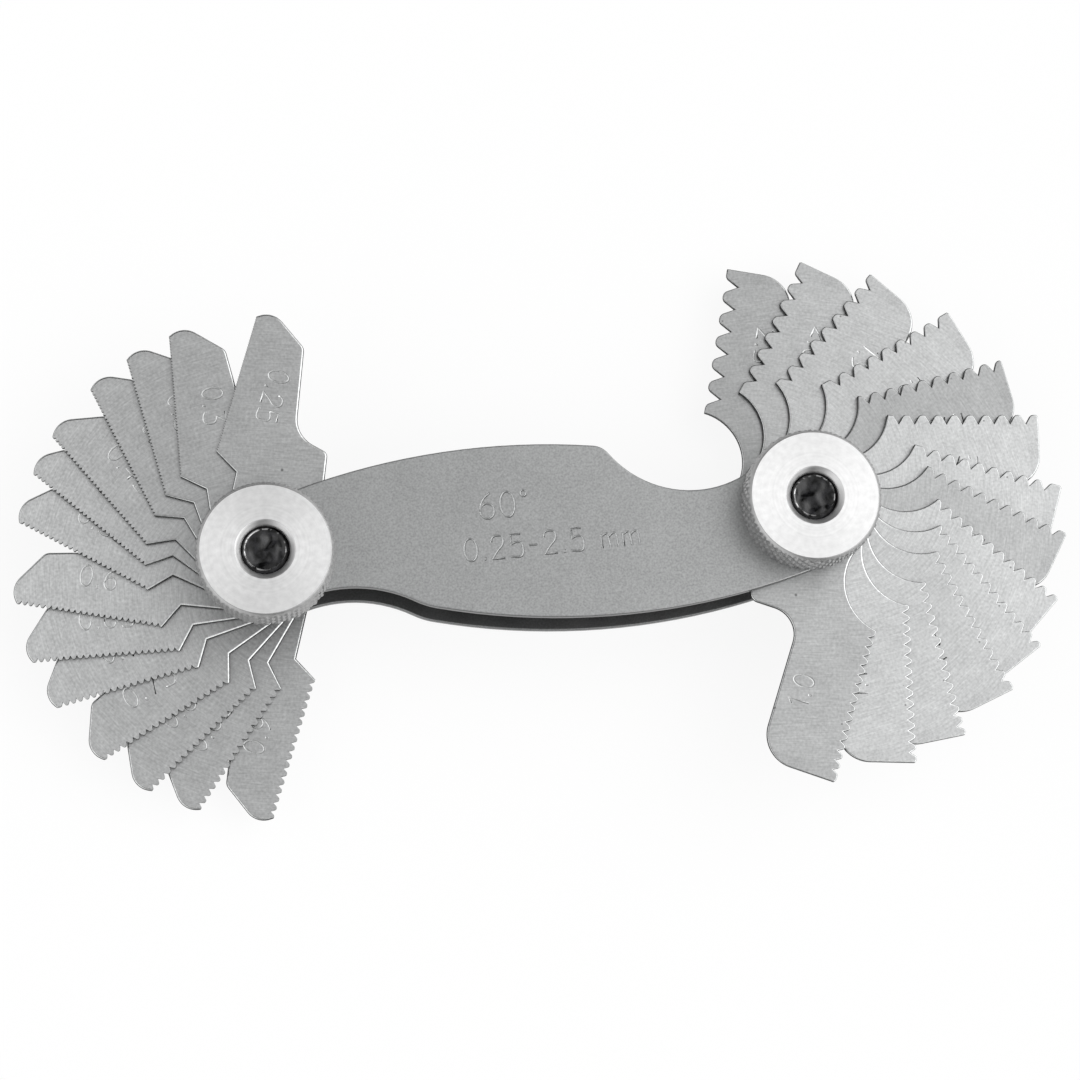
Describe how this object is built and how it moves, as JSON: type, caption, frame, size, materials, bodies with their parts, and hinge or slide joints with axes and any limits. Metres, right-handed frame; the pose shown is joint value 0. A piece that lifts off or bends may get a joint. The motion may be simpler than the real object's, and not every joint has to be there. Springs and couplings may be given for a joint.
{
  "type": "thread pitch gauge",
  "caption": "Metric thread pitch gauge: toothed steel leaves fan out from both ends of a two-plate case and are clamped by knurled thumb nuts on pivot screws.",
  "frame": {"origin": "Centre of the flat end of the left pivot screw's head, on the surface the gauge lies on.", "axes": "+X runs from the left pivot to the right pivot, +Y towards the long edge with the deep scallop at the right pivot, +Z out of the front plate."},
  "size_m": [0.1085, 0.056, 0.0155],
  "materials": {
    "leaf_steel": "satin ground and tumbled",
    "case_steel": "matt blasted",
    "nut_aluminium": "fine turned face, knurled rim",
    "screw_oxide": "black oxide, oiled"
  },
  "bodies": {
    "case": {"back_plate": "case_steel", "front_plate": "case_steel", "left_screw": "screw_oxide", "right_screw": "screw_oxide"},
    "left_nut": {"left_thumb_nut": "nut_aluminium"},
    "right_nut": {"right_thumb_nut": "nut_aluminium"},
    "blade_0_25": {"leaf_0_25": "leaf_steel"},
    "blade_0_3": {"leaf_0_3": "leaf_steel"},
    "blade_0_35": {"leaf_0_35": "leaf_steel"},
    "blade_0_4": {"leaf_0_4": "leaf_steel"},
    "blade_0_45": {"leaf_0_45": "leaf_steel"},
    "blade_0_5": {"leaf_0_5": "leaf_steel"},
    "blade_0_55": {"leaf_0_55": "leaf_steel"},
    "blade_0_6": {"leaf_0_6": "leaf_steel"},
    "blade_0_65": {"leaf_0_65": "leaf_steel"},
    "blade_0_7": {"leaf_0_7": "leaf_steel"},
    "blade_0_75": {"leaf_0_75": "leaf_steel"},
    "blade_0_8": {"leaf_0_8": "leaf_steel"},
    "blade_0_85": {"leaf_0_85": "leaf_steel"},
    "blade_0_9": {"leaf_0_9": "leaf_steel"},
    "blade_1_0": {"leaf_1_0": "leaf_steel"},
    "blade_1_1": {"leaf_1_1": "leaf_steel"},
    "blade_1_2": {"leaf_1_2": "leaf_steel"},
    "blade_1_25": {"leaf_1_25": "leaf_steel"},
    "blade_1_3": {"leaf_1_3": "leaf_steel"},
    "blade_1_4": {"leaf_1_4": "leaf_steel"},
    "blade_1_5": {"leaf_1_5": "leaf_steel"},
    "blade_1_6": {"leaf_1_6": "leaf_steel"},
    "blade_1_7": {"leaf_1_7": "leaf_steel"},
    "blade_1_75": {"leaf_1_75": "leaf_steel"},
    "blade_1_8": {"leaf_1_8": "leaf_steel"},
    "blade_1_9": {"leaf_1_9": "leaf_steel"},
    "blade_2_0": {"leaf_2_0": "leaf_steel"},
    "blade_2_5": {"leaf_2_5": "leaf_steel"}
  },
  "joints": [
    {"name": "left_nut_turn", "type": "hinge", "parent": "case", "child": "left_nut", "pos_m": [0, 0, 0.0125], "axis": [0, 0, 1], "range_deg": [0, 360]},
    {"name": "right_nut_turn", "type": "hinge", "parent": "case", "child": "right_nut", "pos_m": [0.055, 0, 0.0125], "axis": [0, 0, 1], "range_deg": [0, 360]},
    {"name": "leaf_0_25_swing", "type": "hinge", "parent": "case", "child": "blade_0_25", "pos_m": [0, 0, 0.00977], "axis": [0, 0, 1], "range_deg": [-81.3, 278.7]},
    {"name": "leaf_0_3_swing", "type": "hinge", "parent": "case", "child": "blade_0_3", "pos_m": [0, 0, 0.00924], "axis": [0, 0, 1], "range_deg": [-102, 258]},
    {"name": "leaf_0_35_swing", "type": "hinge", "parent": "case", "child": "blade_0_35", "pos_m": [0, 0, 0.00871], "axis": [0, 0, 1], "range_deg": [-113.1, 246.9]},
    {"name": "leaf_0_4_swing", "type": "hinge", "parent": "case", "child": "blade_0_4", "pos_m": [0, 0, 0.00818], "axis": [0, 0, 1], "range_deg": [-123.8, 236.2]},
    {"name": "leaf_0_45_swing", "type": "hinge", "parent": "case", "child": "blade_0_45", "pos_m": [0, 0, 0.00765], "axis": [0, 0, 1], "range_deg": [-137.7, 222.3]},
    {"name": "leaf_0_5_swing", "type": "hinge", "parent": "case", "child": "blade_0_5", "pos_m": [0, 0, 0.00712], "axis": [0, 0, 1], "range_deg": [-147.2, 212.8]},
    {"name": "leaf_0_55_swing", "type": "hinge", "parent": "case", "child": "blade_0_55", "pos_m": [0, 0, 0.00659], "axis": [0, 0, 1], "range_deg": [-158.7, 201.3]},
    {"name": "leaf_0_6_swing", "type": "hinge", "parent": "case", "child": "blade_0_6", "pos_m": [0, 0, 0.00606], "axis": [0, 0, 1], "range_deg": [-177.4, 182.6]},
    {"name": "leaf_0_65_swing", "type": "hinge", "parent": "case", "child": "blade_0_65", "pos_m": [0, 0, 0.00553], "axis": [0, 0, 1], "range_deg": [-191.3, 168.7]},
    {"name": "leaf_0_7_swing", "type": "hinge", "parent": "case", "child": "blade_0_7", "pos_m": [0, 0, 0.005], "axis": [0, 0, 1], "range_deg": [-203, 157]},
    {"name": "leaf_0_75_swing", "type": "hinge", "parent": "case", "child": "blade_0_75", "pos_m": [0, 0, 0.00447], "axis": [0, 0, 1], "range_deg": [-219, 141]},
    {"name": "leaf_0_8_swing", "type": "hinge", "parent": "case", "child": "blade_0_8", "pos_m": [0, 0, 0.00394], "axis": [0, 0, 1], "range_deg": [-231.8, 128.2]},
    {"name": "leaf_0_85_swing", "type": "hinge", "parent": "case", "child": "blade_0_85", "pos_m": [0, 0, 0.00341], "axis": [0, 0, 1], "range_deg": [-243.6, 116.4]},
    {"name": "leaf_0_9_swing", "type": "hinge", "parent": "case", "child": "blade_0_9", "pos_m": [0, 0, 0.00288], "axis": [0, 0, 1], "range_deg": [-260.4, 99.6]},
    {"name": "leaf_1_0_swing", "type": "hinge", "parent": "case", "child": "blade_1_0", "pos_m": [0.055, 0, 0.00977], "axis": [0, 0, 1], "range_deg": [-82.8, 277.2]},
    {"name": "leaf_1_1_swing", "type": "hinge", "parent": "case", "child": "blade_1_1", "pos_m": [0.055, 0, 0.00924], "axis": [0, 0, 1], "range_deg": [-100.6, 259.4]},
    {"name": "leaf_1_2_swing", "type": "hinge", "parent": "case", "child": "blade_1_2", "pos_m": [0.055, 0, 0.00871], "axis": [0, 0, 1], "range_deg": [-113.1, 246.9]},
    {"name": "leaf_1_25_swing", "type": "hinge", "parent": "case", "child": "blade_1_25", "pos_m": [0.055, 0, 0.00818], "axis": [0, 0, 1], "range_deg": [-127.6, 232.4]},
    {"name": "leaf_1_3_swing", "type": "hinge", "parent": "case", "child": "blade_1_3", "pos_m": [0.055, 0, 0.00765], "axis": [0, 0, 1], "range_deg": [-139.1, 220.9]},
    {"name": "leaf_1_4_swing", "type": "hinge", "parent": "case", "child": "blade_1_4", "pos_m": [0.055, 0, 0.00712], "axis": [0, 0, 1], "range_deg": [-150.3, 209.7]},
    {"name": "leaf_1_5_swing", "type": "hinge", "parent": "case", "child": "blade_1_5", "pos_m": [0.055, 0, 0.00659], "axis": [0, 0, 1], "range_deg": [-164.8, 195.2]},
    {"name": "leaf_1_6_swing", "type": "hinge", "parent": "case", "child": "blade_1_6", "pos_m": [0.055, 0, 0.00606], "axis": [0, 0, 1], "range_deg": [-175.4, 184.6]},
    {"name": "leaf_1_7_swing", "type": "hinge", "parent": "case", "child": "blade_1_7", "pos_m": [0.055, 0, 0.00553], "axis": [0, 0, 1], "range_deg": [-192, 168]},
    {"name": "leaf_1_75_swing", "type": "hinge", "parent": "case", "child": "blade_1_75", "pos_m": [0.055, 0, 0.005], "axis": [0, 0, 1], "range_deg": [-206.4, 153.6]},
    {"name": "leaf_1_8_swing", "type": "hinge", "parent": "case", "child": "blade_1_8", "pos_m": [0.055, 0, 0.00447], "axis": [0, 0, 1], "range_deg": [-222, 138]},
    {"name": "leaf_1_9_swing", "type": "hinge", "parent": "case", "child": "blade_1_9", "pos_m": [0.055, 0, 0.00394], "axis": [0, 0, 1], "range_deg": [-240.8, 119.2]},
    {"name": "leaf_2_0_swing", "type": "hinge", "parent": "case", "child": "blade_2_0", "pos_m": [0.055, 0, 0.00341], "axis": [0, 0, 1], "range_deg": [-256.4, 103.6]},
    {"name": "leaf_2_5_swing", "type": "hinge", "parent": "case", "child": "blade_2_5", "pos_m": [0.055, 0, 0.00288], "axis": [0, 0, 1], "range_deg": [-273, 87]}
  ]
}
